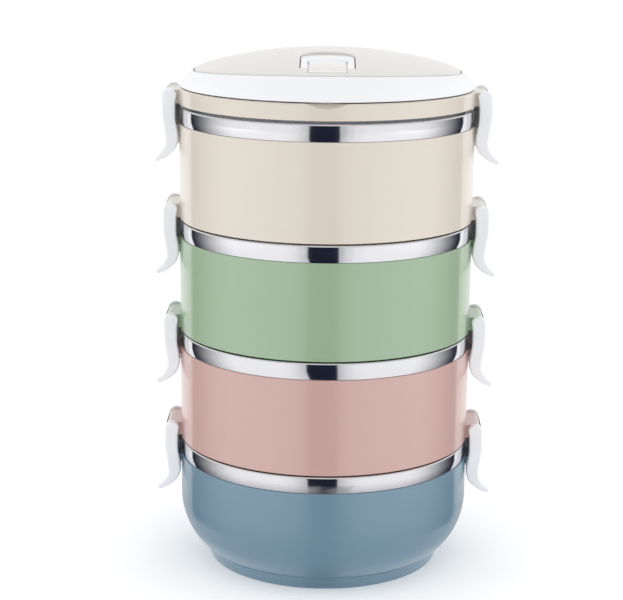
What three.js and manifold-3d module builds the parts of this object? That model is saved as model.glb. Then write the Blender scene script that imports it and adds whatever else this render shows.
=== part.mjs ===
// A stacking tiffin carrier: four round food tiers under a domed lid with a fold-down carry handle.
// Each tier is a plastic shell round a steel bowl, and plugs into the bowl below with a sealed spigot.
// Side latches hang from every upper piece and close over a catch on the piece below.
// Millimetres, +Z up, -Y to the front, origin at the middle of the foot on the table.

import * as THREE from 'three';
import { mergeVertices, toCreasedNormals } from 'three/addons/utils/BufferGeometryUtils.js';
import Module from 'manifold-3d';

const wasm = await Module();
wasm.setup();

// ---- driving dimensions ----

const BODY_R = 72.5; // outside radius of the stack
const WALL = 2.2; // plastic wall thickness
const CLEAR = 0.3; // smallest gap between two pieces
const SEGMENTS = 28; // facets round a turned piece

const BASE_TIER_TOP = 62.4; // rim of the bottom tier above the table
const TIER_PITCH = 55.8; // one upper tier adds this much height
const SEAM = 0.4; // lift of a tier's lower edge above the rim below it
const LID_SEAM = 1.1; // the same under the lid

const BAND_HEIGHT = 8.4; // steel band at the top of each tier
const STEEL = 0.8; // sheet thickness of the bowls
const BAND_R = BODY_R - 0.1;
const BOWL_R = 68.6; // outside radius of the bowl wall
const RIM_DROP = 0.2; // the rim's top stays this far under the seam plane
const BOWL_FLOOR = 4.6; // underside of an upper bowl above the seam plane
const BOWL_CORNER = 6;
const NECK_R = 71.2; // neck of the shell, behind the steel band
const NECK_WALL = 2;
const NECK_DROP = 1.6; // the neck's top stays this far under the tier's top
const NECK_RAMP = { top: 2, bottom: 3.5 }; // depths under the shelf where the inside widens to the wall

const CLOSURE_LOW = 1.2; // underside and top of the plate that closes a tier from below
const CLOSURE_HIGH = 3.6;
const SPIGOT_R = 65.5;
const SPIGOT_WALL = 4;
const SPIGOT_LOW = -5.3;
const SEAL = { lipR: 67.5, low: -4.6, lip: -4, high: -2.2 };

const FOOT_TOP = 7;
const FOOT_R_TOP = 60;
const FOOT_R_BOTTOM = 57.8;
const FOOT_R_INNER = 52;
const CORNER_START = 33; // height where the bottom tier's wall starts to curve in
const CORNER_WIDE = 28;
const CORNER_TALL = 32;

const FITTING_ROOT = BODY_R - 1.9; // lugs and catches reach this far into the wall
const LUG_HALF = 11.9; // half width of the hinge lugs
const CATCH_HALF = 10.5; // half width of the catches
const CATCH_R = 74.6;
const CATCH = { top: 9.3, edge: 11.2, bottom: 12.6 }; // depths under the tier's top
const LATCH_HALF = 15; // half width of the latches
const PIN_X = 76.2; // latch pin, from the stack's axis
const PIN_Z = 4.4; // latch pin, above the seam plane
const LUG_R = 3.4;
const LATCH_PIN_R = 1.2;
const LATCH_PIN_HALF = LATCH_HALF - 1;
const LATCH_GAP = 0.4; // between a latch and its lug

const RIM_TOP = 8.8; // top edge of the lid's rim above the seam plane
const CROWN = 27.8; // top of the lid's dome above the seam plane
const DOME_R = 221; // radius of curvature of the dome
const DOME_EDGE = 50; // where the dome turns into the shoulder
const SHOULDER_END = { r: 72.3, z: 9.1 }; // where the shoulder meets the rim
const SHOULDER_FALL = THREE.MathUtils.degToRad(64.7); // its slope there
const SHOULDER_PULL = { dome: 8.5, rim: 10.4 }; // how far its curve follows the tangents at both ends
const NOTCH = { halfX: 20, halfY: 8, lift: 17.7 }; // dish of the finger notch, and its centre's lift
const PANEL_A = 64.5; // half axes of the oval step that the handle lies round
const PANEL_B = 58.2;
const HANDLE_GAP = 0.5;
const HANDLE_LIFT = 1; // gap between the handle and the rim
const HANDLE_END_R = 4.3;
const HANDLE_Z = RIM_TOP + HANDLE_LIFT + HANDLE_END_R; // handle pivot above the seam plane
const HANDLE_PIN_R = 1.4;
const HANDLE_PIN_END = 66; // outer ends of the handle pins, from the stack's axis
const PIN_HEAD = { r: 2.2, thick: 2.2, gap: 1.3 }; // with its gap to the wall it passes
const PANEL_BACK = 7.5; // behind this, the panel is hollow out to the shoulder

const VENT_HALF = 13; // half width of the arched well in the dome
const VENT_BACK = -16.5;
const VENT_FRONT = -47.5;
const VENT_CORNER = 10;
const VENT_FLOOR = 15.5;
const VENT_HOLE = { y: -41.8, r: 3 };
const FLAP_HALF = 8.9;
const FLAP_Y = -34.8; // hinge line of the vent flap
const FLAP_SLOPE = THREE.MathUtils.degToRad(11);
const FLAP_SINK = 1.6; // the hinge line lies this far under the dome
const FLAP_PIN_R = 0.7;
const FLAP_PIN_HALF = 11;
const FLAP_LENGTH = 18.9; // from the hinge line to the finger lip's edge
const PLUG = { topR: 2.6, bottomR: 2, top: -1.9, tall: 2.5 }; // heights from the flap's hinge line
const FAR = 80; // cutting blocks reach past every surface

// ---- solids ----

function solid(geometry) {
  const bare = geometry.clone();
  bare.deleteAttribute('normal');
  bare.deleteAttribute('uv');
  const merged = mergeVertices(bare, 1e-4);
  const index = Array.from(merged.index.array);
  const triangles = [];
  for (let i = 0; i < index.length; i += 3) {
    const [a, b, c] = index.slice(i, i + 3);
    if (a !== b && b !== c && c !== a) triangles.push(a, b, c);
  }
  return new wasm.Manifold(new wasm.Mesh({
    numProp: 3,
    vertProperties: new Float32Array(merged.attributes.position.array),
    triVerts: new Uint32Array(triangles),
  }));
}

function arc(x, z, radiusX, radiusZ, fromDeg, toDeg, steps) {
  return Array.from({ length: steps + 1 }, (_, i) => {
    const angle = THREE.MathUtils.degToRad(fromDeg + ((toDeg - fromDeg) * i) / steps);
    return [x + radiusX * Math.cos(angle), z + radiusZ * Math.sin(angle)];
  });
}

// A profile of [radius, height] points turned about Z.
function turned(profile) {
  const points = profile.map(([r, z]) => new THREE.Vector2(r, z));
  if (THREE.ShapeUtils.area(points) < 0) points.reverse();
  const onAxis = points[0].x === 0 && points[points.length - 1].x === 0;
  if (!onAxis) points.push(points[0].clone());
  return solid(new THREE.LatheGeometry(points, SEGMENTS).rotateX(Math.PI / 2));
}

function drawnOut(outline, depth) {
  const shape = new THREE.Shape(outline.map(([a, b]) => new THREE.Vector2(a, b)));
  return new THREE.ExtrudeGeometry(shape, { depth, bevelEnabled: false });
}

// An [x, z] outline drawn out along Y.
function prismY(outline, from, to) {
  const geometry = drawnOut(outline, to - from);
  return solid(geometry.rotateX(Math.PI / 2).translate(0, to, 0));
}

// An [x, y] outline drawn up along Z.
function prismZ(outline, from, to) {
  return solid(drawnOut(outline, to - from).translate(0, 0, from));
}

function block(x0, x1, y0, y1, z0, z1) {
  const geometry = new THREE.BoxGeometry(x1 - x0, y1 - y0, z1 - z0);
  return solid(geometry.translate((x0 + x1) / 2, (y0 + y1) / 2, (z0 + z1) / 2));
}

function rodX(radius, x0, x1, y, z, sides = 10) {
  const geometry = new THREE.CylinderGeometry(radius, radius, x1 - x0, sides);
  return solid(geometry.rotateZ(Math.PI / 2).translate((x0 + x1) / 2, y, z));
}

function rodY(radius, y0, y1, x, z, sides = 10) {
  const geometry = new THREE.CylinderGeometry(radius, radius, y1 - y0, sides);
  return solid(geometry.translate(x, (y0 + y1) / 2, z));
}

function rodZ(radius, z0, z1, x, y, sides = 12) {
  const geometry = new THREE.CylinderGeometry(radius, radius, z1 - z0, sides);
  return solid(geometry.rotateX(Math.PI / 2).translate(x, y, (z0 + z1) / 2));
}

// The same solid turned half a turn about the stack's axis.
const opposite = (piece) => piece.rotate([0, 0, 180]);
const bothSides = (piece) => piece.add(opposite(piece));

function mesh(name, piece, material) {
  const { vertProperties, triVerts } = piece.getMesh();
  const geometry = new THREE.BufferGeometry();
  geometry.setAttribute('position', new THREE.BufferAttribute(new Float32Array(vertProperties), 3));
  geometry.setIndex(new THREE.BufferAttribute(new Uint32Array(triVerts), 1));
  const node = new THREE.Mesh(toCreasedNormals(geometry, Math.PI / 6), material.clone());
  node.name = name;
  return node;
}

// ---- materials ----

const plastic = (color) => new THREE.MeshStandardMaterial({ color, roughness: 0.22, metalness: 0 });
const CREAM = plastic(0xe6dac8);
const GREEN = plastic(0xa9c6a3);
const PINK = plastic(0xd9b3ab);
const BLUE = plastic(0x7d9fb3);
const WHITE = plastic(0xf3f4f7);
const POLISHED = new THREE.MeshStandardMaterial({ color: 0xd9dade, roughness: 0.12, metalness: 1 });
const PIN_STEEL = new THREE.MeshStandardMaterial({ color: 0xb5b6ba, roughness: 0.35, metalness: 1 });
const SILICONE = new THREE.MeshStandardMaterial({ color: 0xeceae4, roughness: 0.6, metalness: 0 });

// ---- latches, lugs and catches ----

// A lug on the +X side, round about the latch pin; it stands out of a wall at the seam plane.
function hingeLugs() {
  const outline = [
    [FITTING_ROOT, PIN_Z - LUG_R],
    ...arc(PIN_X, PIN_Z, LUG_R, LUG_R, -90, 90, 6),
    [FITTING_ROOT, PIN_Z + LUG_R],
  ];
  return bothSides(prismY(outline, -LUG_HALF, LUG_HALF));
}

const lugHoles = () => bothSides(rodY(LATCH_PIN_R + CLEAR, -LUG_HALF - 1, LUG_HALF + 1, PIN_X, PIN_Z));

// Ridges just under the steel band, with a sloped top that a closing latch rides over.
function catches(tierTop) {
  const outline = [
    [FITTING_ROOT, tierTop - CATCH.top],
    [BODY_R + CLEAR, tierTop - CATCH.top],
    [CATCH_R, tierTop - CATCH.edge],
    [CATCH_R, tierTop - CATCH.bottom],
    [FITTING_ROOT, tierTop - CATCH.bottom],
  ];
  return bothSides(prismY(outline, -CATCH_HALF, CATCH_HALF));
}

function spline(points, steps) {
  const curve = new THREE.SplineCurve(points.map(([x, z]) => new THREE.Vector2(x, z)));
  return curve.getPoints(steps).map((p) => [p.x, p.y]);
}

// The S-shaped lever: a plate with a hook bar on its inside, and two cheeks that straddle the lug.
// Drawn at the +X side from the seam plane, then moved so that its pin lies at the origin.
function latch() {
  const back = spline([[80, 5.1], [80.1, -4], [79, -12], [78.4, -17.5], [79.8, -21.5], [83.3, -25.6]], 8);
  const front = spline(
    [[80.4, -26.8], [76.9, -25], [73.5, -21.4], [72.2, -17], [72.4, -12], [73.4, -6], [73.4, 1.5]],
    8,
  );
  const tip = [82.4, -26.7];
  const cheekOutline = [
    ...arc(76.35, 5.1, 3.65, 3.65, 180, 20, 4),
    ...back,
    tip,
    ...front,
  ];
  const plateOutline = [
    ...arc(PIN_X, PIN_Z, LUG_R + LATCH_GAP, LUG_R + LATCH_GAP, -88, -12, 3),
    ...back.slice(1),
    tip,
    [80.2, -26.7],
    [77.6, -22.5],
    [75.6, -17.5],
    [74.9, -14.4],
    [74.9, -12.9],
    [76, -12.9],
    [76.8, -4],
  ];
  const cheek = prismY(cheekOutline, LUG_HALF + LATCH_GAP, LATCH_HALF);
  const otherCheek = prismY(cheekOutline, -LATCH_HALF, -LUG_HALF - LATCH_GAP);
  const boreHalf = LATCH_PIN_HALF + CLEAR;
  const bore = rodY(LATCH_PIN_R + CLEAR, -boreHalf, boreHalf, PIN_X, PIN_Z);
  return prismY(plateOutline, -LATCH_HALF, LATCH_HALF)
    .add(cheek)
    .add(otherCheek)
    .subtract(bore)
    .translate([-PIN_X, 0, -PIN_Z]);
}

// The two latches of a piece, each with its pin, hung from that piece's lugs.
function latchSet(prefix) {
  const set = new THREE.Group();
  const lever = latch();
  const pin = rodY(LATCH_PIN_R, -LATCH_PIN_HALF, LATCH_PIN_HALF, 0, 0);
  for (const [side, turn] of [['right', 0], ['left', Math.PI]]) {
    const hinge = new THREE.Group();
    hinge.position.set(PIN_X * Math.cos(turn), 0, PIN_Z);
    hinge.rotation.z = turn;
    hinge.add(mesh(`${prefix}_latch_${side}`, lever, WHITE));
    hinge.add(mesh(`${prefix}_latch_pin_${side}`, pin, PIN_STEEL));
    set.add(hinge);
  }
  return set;
}

// ---- pieces that repeat from tier to tier ----

// Upper end of a shell, from the outside of the wall to the inside: a neck that carries the steel rim.
function neckProfile(tierTop) {
  const shelf = tierTop - BAND_HEIGHT - CLEAR;
  const neckTop = tierTop - NECK_DROP;
  const neckInner = NECK_R - NECK_WALL;
  return [
    [BODY_R, shelf],
    [NECK_R, shelf],
    [NECK_R, neckTop],
    [neckInner, neckTop],
    [neckInner, shelf - NECK_RAMP.top],
    [BODY_R - WALL, shelf - NECK_RAMP.bottom],
  ];
}

// Upper end of a bowl, from the outside of its wall to the inside: a flat rim folded down as the band.
function bandProfile(tierTop) {
  const top = tierTop - RIM_DROP;
  const bandFoot = tierTop - BAND_HEIGHT;
  return [
    [BOWL_R, top - STEEL],
    [BAND_R - STEEL, top - STEEL],
    [BAND_R - STEEL, bandFoot],
    [BAND_R, bandFoot],
    [BAND_R, top],
    [BOWL_R - STEEL, top],
  ];
}

function upperShell() {
  const wall = turned([[BODY_R, SEAM], ...neckProfile(TIER_PITCH), [BODY_R - WALL, SEAM]]);
  return wall.add(hingeLugs()).add(catches(TIER_PITCH)).subtract(lugHoles());
}

function upperBowl() {
  const innerCorner = BOWL_CORNER - STEEL;
  const centre = BOWL_R - BOWL_CORNER;
  const cornerTop = BOWL_FLOOR + BOWL_CORNER;
  return turned([
    [0, BOWL_FLOOR],
    ...arc(centre, cornerTop, BOWL_CORNER, BOWL_CORNER, -90, 0, 2),
    ...bandProfile(TIER_PITCH),
    ...arc(centre, cornerTop, innerCorner, innerCorner, 0, -90, 2),
    [0, BOWL_FLOOR + STEEL],
  ]);
}

// Bottom plate of a tier or of the lid, with the spigot that enters the bowl below.
function closure() {
  const plateR = BODY_R - WALL - CLEAR;
  const spigotInner = SPIGOT_R - SPIGOT_WALL;
  return turned([
    [0, CLOSURE_LOW],
    [spigotInner, CLOSURE_LOW],
    [spigotInner, SPIGOT_LOW],
    [SPIGOT_R, SPIGOT_LOW],
    [SPIGOT_R, CLOSURE_LOW],
    [plateR, CLOSURE_LOW],
    [plateR, CLOSURE_HIGH],
    [0, CLOSURE_HIGH],
  ]);
}

// Silicone lip round the spigot.
function sealRing() {
  const inner = SPIGOT_R + CLEAR;
  return turned([
    [inner, SEAL.low],
    [SEAL.lipR, SEAL.lip],
    [SEAL.lipR - CLEAR, SEAL.high - 0.2],
    [inner, SEAL.high],
  ]);
}

function upperTier(name, material) {
  const tier = new THREE.Group();
  tier.add(mesh(`${name}_shell`, upperShell(), material));
  tier.add(mesh(`${name}_base`, closure(), material));
  tier.add(mesh(`${name}_seal`, sealRing(), SILICONE));
  tier.add(mesh(`${name}_bowl`, upperBowl(), POLISHED));
  tier.add(latchSet(name));
  return tier;
}

// ---- bottom tier ----

// Quarter-oval corner of the bottom tier, set in by `inset`, from height `low` up to the wall.
function cornerArc(inset, low, steps) {
  const tall = CORNER_TALL - inset;
  const end = THREE.MathUtils.radToDeg(Math.asin((CORNER_START - low) / tall));
  return arc(BODY_R - CORNER_WIDE, CORNER_START, CORNER_WIDE - inset, tall, -end, 0, steps);
}

function bottomTier() {
  const tier = new THREE.Group();
  const shellFloor = FOOT_TOP + WALL;
  const shell = turned([
    [0, FOOT_TOP],
    ...cornerArc(0, FOOT_TOP, 4),
    ...neckProfile(BASE_TIER_TOP),
    ...cornerArc(WALL, shellFloor, 3).reverse(),
    [0, shellFloor],
  ]).add(catches(BASE_TIER_TOP));

  const bowlInset = BODY_R - BOWL_R;
  const bowlFloor = shellFloor + 0.8;
  const bowl = turned([
    [0, bowlFloor],
    ...cornerArc(bowlInset, bowlFloor, 3),
    ...bandProfile(BASE_TIER_TOP),
    ...cornerArc(bowlInset + STEEL, bowlFloor + STEEL, 3).reverse(),
    [0, bowlFloor + STEEL],
  ]);

  const footTop = FOOT_TOP - CLEAR;
  const foot = turned([
    [FOOT_R_INNER, 0],
    [FOOT_R_BOTTOM, 0],
    [FOOT_R_TOP, footTop],
    [FOOT_R_INNER, footTop],
  ]);

  tier.add(mesh('blue_shell', shell, BLUE));
  tier.add(mesh('blue_bowl', bowl, POLISHED));
  tier.add(mesh('foot_ring', foot, BLUE));
  return tier;
}

// ---- lid ----

const domeHeight = (r) => CROWN - (r * r) / (2 * DOME_R);

// The shoulder's outline, from the rim up to the dome, which it joins without a kink.
function shoulderCurve() {
  const rim = new THREE.Vector2(SHOULDER_END.r, SHOULDER_END.z);
  const dome = new THREE.Vector2(DOME_EDGE, domeHeight(DOME_EDGE));
  const rimPull = new THREE.Vector2(-Math.cos(SHOULDER_FALL), Math.sin(SHOULDER_FALL));
  const domePull = new THREE.Vector2(DOME_R, -DOME_EDGE).normalize();
  return new THREE.CubicBezierCurve(
    rim,
    rimPull.multiplyScalar(SHOULDER_PULL.rim).add(rim),
    domePull.multiplyScalar(SHOULDER_PULL.dome).add(dome),
    dome,
  );
}

// The lid's outer form above `floor`, with its top surface set in by `inset`.
function lidForm(inset, floor) {
  const curve = shoulderCurve();
  const shoulderSteps = 5;
  const shoulder = Array.from({ length: shoulderSteps + 1 }, (_, i) => {
    const point = curve.getPoint(i / shoulderSteps);
    const along = curve.getTangent(i / shoulderSteps);
    return [point.x - inset * along.y, point.y + inset * along.x];
  });
  const domeSteps = 3;
  const edge = shoulder[shoulderSteps][0];
  const dome = Array.from({ length: domeSteps }, (_, i) => {
    const radius = edge * (1 - (i + 1) / domeSteps);
    return [radius, domeHeight(radius) - inset];
  });
  return turned([[0, 0], [shoulder[0][0], 0], ...shoulder, ...dome])
    .intersect(block(-FAR, FAR, -FAR, FAR, floor, FAR));
}

const oval = (a, b, z0, z1) => prismZ(arc(0, 0, a, b, 0, 360 - 360 / SEGMENTS, SEGMENTS - 1), z0, z1);

// Plan of the vent well: straight sides and a rounded back, grown or shrunk by `grow`.
function archPlan(grow, front) {
  const half = VENT_HALF + grow;
  const corner = VENT_CORNER + grow;
  const turnX = half - corner;
  const turnY = VENT_BACK + grow - corner;
  return [
    [-half, front],
    [half, front],
    ...arc(turnX, turnY, corner, corner, 0, 90, 4),
    ...arc(-turnX, turnY, corner, corner, 90, 180, 4),
  ];
}

// Moves a solid drawn about the flap's hinge line (front along -Y) to its sloping place on the dome.
function onFlapSlope(piece) {
  const pivotZ = domeHeight(FLAP_Y) - FLAP_SINK;
  return piece.rotate([THREE.MathUtils.radToDeg(FLAP_SLOPE), 0, 0]).translate([0, FLAP_Y, pivotZ]);
}

function lidRim() {
  const ring = turned([
    [BODY_R, LID_SEAM],
    [BODY_R, RIM_TOP - 0.5],
    [BODY_R - 0.5, RIM_TOP],
    [50, RIM_TOP],
    [50, RIM_TOP - 2],
    [BODY_R - WALL, RIM_TOP - 2],
    [BODY_R - WALL, LID_SEAM],
  ]);
  // Finger notch: a shallow dish at the front, under the handle.
  const notch = new THREE.SphereGeometry(NOTCH.halfX, 24, 24)
    .scale(1, NOTCH.halfY / NOTCH.halfX, 1)
    .translate(0, -BODY_R, RIM_TOP + NOTCH.lift);
  return ring.add(hingeLugs()).subtract(lugHoles()).subtract(solid(notch));
}

function lidPanel() {
  const low = RIM_TOP + CLEAR;
  const plan = oval(PANEL_A, PANEL_B, 0, FAR).add(block(-FAR, FAR, 0, FAR, 0, FAR));
  const innerPlan = oval(PANEL_A - WALL, PANEL_B - WALL, 0, FAR)
    .add(block(-FAR, FAR, PANEL_BACK, FAR, 0, FAR));
  const skin = lidForm(0, low).intersect(plan).subtract(lidForm(WALL, 0).intersect(innerPlan));

  const pedestal = prismZ(archPlan(2, -PANEL_B), VENT_FLOOR - 1.8, FAR)
    .intersect(lidForm(0, low))
    .intersect(plan);
  const well = prismZ(archPlan(0, VENT_FRONT), VENT_FLOOR, FAR);
  const notchHalf = FLAP_HALF + 0.5;
  const notchFront = -FLAP_LENGTH - 0.6;
  const tabNotch = onFlapSlope(block(-notchHalf, notchHalf, notchFront, -FLAP_LENGTH / 2, -0.8, FAR));
  const steamHole = rodZ(VENT_HOLE.r, VENT_FLOOR - 4, VENT_FLOOR + 1, 0, VENT_HOLE.y);

  const pivotRoom = bothSides(rodX(HANDLE_END_R + HANDLE_GAP, PANEL_A, FAR, 0, HANDLE_Z, 20));
  const pinHoles = bothSides(rodX(HANDLE_PIN_R + CLEAR, PANEL_A - 4 * WALL, PANEL_A + 1, 0, HANDLE_Z));
  return skin
    .add(pedestal)
    .subtract(well)
    .subtract(tabNotch)
    .subtract(steamHole)
    .subtract(pivotRoom)
    .subtract(pinHoles);
}

function carryHandle() {
  const innerA = PANEL_A + HANDLE_GAP;
  const innerB = PANEL_B + HANDLE_GAP;
  const form = lidForm(0, RIM_TOP + HANDLE_LIFT);
  const arch = form.intersect(block(-FAR, FAR, -FAR, 0, 0, FAR)).subtract(oval(innerA, innerB, 0, FAR));
  const ends = bothSides(rodX(HANDLE_END_R, innerA, FAR, 0, HANDLE_Z, 20)).intersect(form);
  const bores = bothSides(rodX(HANDLE_PIN_R + 0.4, innerA - 1, HANDLE_PIN_END + CLEAR, 0, HANDLE_Z));
  return arch.add(ends).subtract(bores);
}

function handlePin() {
  const headEnd = PANEL_A - WALL - PIN_HEAD.gap;
  const head = rodX(PIN_HEAD.r, headEnd - PIN_HEAD.thick, headEnd, 0, 0);
  return rodX(HANDLE_PIN_R, headEnd - 1, HANDLE_PIN_END, 0, 0).add(head);
}

function ventHousing() {
  const bottom = VENT_FLOOR + 0.4;
  const body = prismZ(archPlan(-0.4, VENT_FRONT + 0.4), bottom, FAR).intersect(lidForm(0, RIM_TOP));
  const slotHalf = FLAP_HALF + 0.4;
  const slot = onFlapSlope(block(-slotHalf, slotHalf, -FAR, 2.1, -2.1, FAR));
  const pinHoleHalf = FLAP_PIN_HALF + 0.4;
  const pinHole = onFlapSlope(rodX(FLAP_PIN_R + CLEAR, -pinHoleHalf, pinHoleHalf, 0, 0));
  const steamHole = rodZ(VENT_HOLE.r + 0.4, bottom - 1, CROWN, 0, VENT_HOLE.y);
  return body.subtract(slot).subtract(pinHole).subtract(steamHole);
}

// Flap in its own frame: hinge line at the origin, front along -Y, top up along Z.
function ventFlap() {
  const lip = { back: -13, top: 1.4, bottom: -0.4 };
  const sideView = [
    ...arc(0, 0, FLAP_SINK, FLAP_SINK, -90, 30, 4),
    [lip.back + 0.6, 0.8],
    [lip.back, lip.top],
    [-FLAP_LENGTH + 0.6, lip.top],
    [-FLAP_LENGTH, 0.9],
    [-FLAP_LENGTH, lip.bottom],
    [lip.back + 0.4, lip.bottom],
    [lip.back + 1.1, -FLAP_SINK],
  ];
  const plate = prismY(sideView, -FLAP_HALF, FLAP_HALF).rotate([0, 0, 90]);
  return plate.subtract(rodX(FLAP_PIN_R + CLEAR, -FLAP_HALF - 1, FLAP_HALF + 1, 0, 0));
}

function ventPlug() {
  const stem = new THREE.CylinderGeometry(PLUG.topR, PLUG.bottomR, PLUG.tall, 12).rotateX(Math.PI / 2);
  return solid(stem.translate(0, VENT_HOLE.y - FLAP_Y, PLUG.top - PLUG.tall / 2));
}

function lid() {
  const group = new THREE.Group();
  const liner = closure().subtract(rodZ(VENT_HOLE.r, 0, CLOSURE_HIGH + 1, 0, VENT_HOLE.y));
  group.add(mesh('lid_rim', lidRim(), CREAM));
  group.add(mesh('lid_panel', lidPanel(), CREAM));
  group.add(mesh('lid_liner', liner, WHITE));
  group.add(mesh('lid_seal', sealRing(), SILICONE));
  group.add(mesh('vent_housing', ventHousing(), WHITE));
  group.add(mesh('carry_handle', carryHandle(), WHITE));

  for (const [side, turn] of [['right', 0], ['left', Math.PI]]) {
    const pin = mesh(`handle_pin_${side}`, handlePin(), PIN_STEEL);
    pin.position.z = HANDLE_Z;
    pin.rotation.z = turn;
    group.add(pin);
  }

  const flapHinge = new THREE.Group();
  flapHinge.position.set(0, FLAP_Y, domeHeight(FLAP_Y) - FLAP_SINK);
  flapHinge.rotation.x = FLAP_SLOPE;
  flapHinge.add(mesh('vent_flap', ventFlap(), WHITE));
  flapHinge.add(mesh('vent_plug', ventPlug(), SILICONE));
  flapHinge.add(mesh('vent_flap_pin', rodX(FLAP_PIN_R, -FLAP_PIN_HALF, FLAP_PIN_HALF, 0, 0), PIN_STEEL));
  group.add(flapHinge);

  group.add(latchSet('lid'));
  return group;
}

// ---- the stack ----

const carrier = new THREE.Group();
carrier.add(bottomTier());
const stack = [upperTier('pink', PINK), upperTier('green', GREEN), upperTier('cream', CREAM), lid()];
stack.forEach((piece, level) => {
  piece.position.z = BASE_TIER_TOP + level * TIER_PITCH;
  carrier.add(piece);
});

export default carrier;
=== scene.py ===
"""Looks of a stacking tiffin carrier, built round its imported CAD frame.

The scene is in metres, +Z up, -Y to the front. Shapes are drawn in millimetres,
each tier and the lid from its own seam plane, and scaled as they become objects.
"""

import math

import bmesh
import bpy
import numpy as np
from mathutils import Matrix, Vector
from mathutils.geometry import delaunay_2d_cdt


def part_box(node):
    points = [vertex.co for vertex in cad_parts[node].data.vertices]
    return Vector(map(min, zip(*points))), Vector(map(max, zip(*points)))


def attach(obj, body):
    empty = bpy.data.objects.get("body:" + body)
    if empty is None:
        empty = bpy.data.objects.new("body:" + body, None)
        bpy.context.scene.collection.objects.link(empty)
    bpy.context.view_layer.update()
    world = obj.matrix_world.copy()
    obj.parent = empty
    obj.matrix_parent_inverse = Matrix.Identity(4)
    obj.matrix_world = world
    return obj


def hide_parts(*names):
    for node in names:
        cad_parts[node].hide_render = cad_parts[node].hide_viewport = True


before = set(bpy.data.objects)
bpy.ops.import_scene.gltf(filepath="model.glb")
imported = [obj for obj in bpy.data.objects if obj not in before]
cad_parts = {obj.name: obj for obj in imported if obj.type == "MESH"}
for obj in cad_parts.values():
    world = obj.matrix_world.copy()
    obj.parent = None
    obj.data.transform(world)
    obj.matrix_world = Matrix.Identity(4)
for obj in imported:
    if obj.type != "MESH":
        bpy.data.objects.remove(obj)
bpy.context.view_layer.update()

MM = 0.001


def low(node):
    """Lowest corner of a CAD node, in millimetres."""
    return np.array(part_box(node)[0]) / MM


def high(node):
    """Highest corner of a CAD node, in millimetres."""
    return np.array(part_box(node)[1]) / MM


def middle(node):
    """Centre of a CAD node's box, in millimetres."""
    return (low(node) + high(node)) / 2


# ---- dimensions, in millimetres ----

TIERS = ("pink", "green", "cream")  # the upper tiers, from the bottom
SEAM = 0.4  # lift of a tier's lower edge above the seam plane
LID_SEAM = 1.1  # the same under the lid
HANG = 0.2  # how far the walls' outer edges hang below that

BODY_R = high("blue_shell")[1]
SEAM_Z = {tier: low(f"{tier}_shell")[2] - SEAM for tier in TIERS}
BASE_TOP = SEAM_Z["pink"]
PITCH = SEAM_Z["green"] - SEAM_Z["pink"]
SEAM_Z["lid"] = SEAM_Z["cream"] + PITCH

WALL = 2.2  # plastic wall
GAP = 0.3  # gap between neighbouring pieces
STEEL = 0.8  # sheet thickness of the bowls
BAND_HEIGHT = 8.4
BAND_DROP = 0.15  # how far a band ends below that height
BAND_CURL = 0.4  # how far its lower half curls in
BAND_R = high("blue_bowl")[1]
BOWL_R = 68.6
RIM_DROP = 0.4  # how far a bowl's rim lies below its tier's top
NECK_R = 71.2
NECK_DROP = 1.6  # how far the neck ends below the top

FOOT_TOP = high("foot_ring")[2] + GAP
FOOT_R = 60.0
FOOT_R_LOW = 57.8
FOOT_R_INNER = 52.0
CORNER_START = 33.0  # height where the bottom tier's wall starts to curve in
CORNER_WIDE = 28.0
CORNER_TALL = 32.0

SPIGOT = (61.5, 65.5)  # inner and outer radius of the ring that enters the bowl below
SPIGOT_LOW = -5.3
CLOSURE_LOW = 1.2
CLOSURE_HIGH = 3.6
RIB_RADII = (18, 42)  # stiffening rings below a closure
RIB_TALL = 0.8
RIB_WIDE = 2.0

PIN_X = middle("lid_latch_pin_right")[0]
PIN_Z = middle("lid_latch_pin_right")[2] - SEAM_Z["lid"]
LUG_R = 3.4
LUG_HALF = 11.9
ROOT_R = BODY_R - 1.9  # where lugs and catches start, inside the wall
CATCH_HALF = 10.5
CATCH_R = 74.6  # front face of the catches
CATCH_SLOPE_R = 72.9  # outer end of their flat top
CATCH_DROPS = (9.3, 11.2, 12.6)  # flat top, front face and foot of the catches, below the tier's top
LATCH_HALF = high("lid_latch_right")[1]
CHEEK_INNER = LUG_HALF + 0.4
LATCH_SOFT = 0.9  # rounding of the cheeks' outer edges

RIM_TOP = 8.8  # top edge of the lid's rim above the seam plane
HANDLE_LOW = RIM_TOP + 0.5
CROWN = high("lid_panel")[2] - SEAM_Z["lid"]
DOME_R = 221.0  # radius of curvature of the dome
DOME_EDGE = 50.0  # where the dome turns into the shoulder
SHOULDER_END = (72.3, 9.1)
SHOULDER_FALL = 64.7  # degrees below level at the shoulder's lower end
PANEL_A, PANEL_B = 64.5, 58.2  # half axes of the oval step that the handle lies round
STEP_GROW = (0.2, 0.25)  # how far the step itself reaches past them
DECK_R = 62.0  # inner end of the part of the rim's deck that the finger notch may dip
HANDLE_GAP = 0.5
HANDLE_END_R = 4.3
HANDLE_Z = middle("handle_pin_right")[2] - SEAM_Z["lid"]

NOTCH = {"half": 20.0, "deep": 8.0, "lift": 17.7}  # finger notch: half axes of its dish and its lift

VENT_HALF = 13.0
VENT_BACK = high("vent_housing")[1] + 0.4
VENT_FRONT = low("vent_housing")[1] - 0.4
VENT_CORNER = 10.0
VENT_FLOOR = 15.5
STEAM_HOLE = (middle("vent_plug")[1], 3.0)  # place along Y and radius
FLAP_HALF = high("vent_flap")[0]
FLAP_Y = middle("vent_flap_pin")[1]
FLAP_Z = middle("vent_flap_pin")[2] - SEAM_Z["lid"]
FLAP_SLOPE = math.radians(11)
FLAP_FRONT = 18.9  # length of the flap in front of its hinge line
SLOT_HALF = FLAP_HALF + 0.1

COLUMNS = 192  # facets round a turned piece
EDGE_STEPS = 4  # facets across a plate's rounded edge
CREASE = 35  # degrees between faces, above which an edge stays sharp


# ---- outlines ----

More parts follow.
